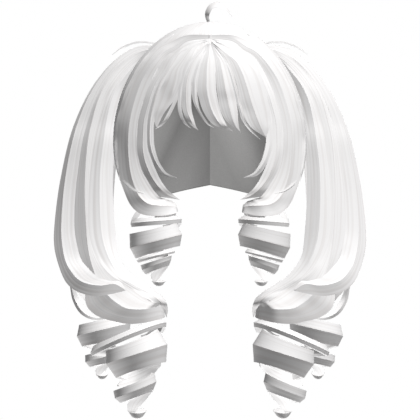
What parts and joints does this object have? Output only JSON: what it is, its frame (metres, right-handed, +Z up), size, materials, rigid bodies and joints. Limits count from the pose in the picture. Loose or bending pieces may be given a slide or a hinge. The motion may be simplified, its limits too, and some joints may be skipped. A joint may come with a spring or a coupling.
{
  "type": "pigtail wig",
  "caption": "White pigtail wig: fitted cap, domed crown hair, swept fringe, face-framing side locks, and high pigtails that end in ringlet curls.",
  "frame": {"origin": "top of the head inside the cap, where the wig sits on the head", "axes": "+Z up out of the crown, -Y out of the face, +X to the right in the front view"},
  "size_m": [0.3818, 0.2364, 0.5047],
  "materials": {
    "hair": "satin",
    "cap_net": "matte"
  },
  "bodies": {
    "root": {"cap": "cap_net", "crown_hair": "hair", "fringe": "hair", "crown_sprig": "hair", "side_lock_left": "hair", "side_lock_right": "hair", "side_curl_left": "hair", "side_curl_right": "hair", "pigtail_left": "hair", "pigtail_right": "hair", "front_curl_left": "hair", "front_curl_right": "hair", "back_curl_left": "hair", "back_curl_right": "hair"}
  },
  "joints": []
}
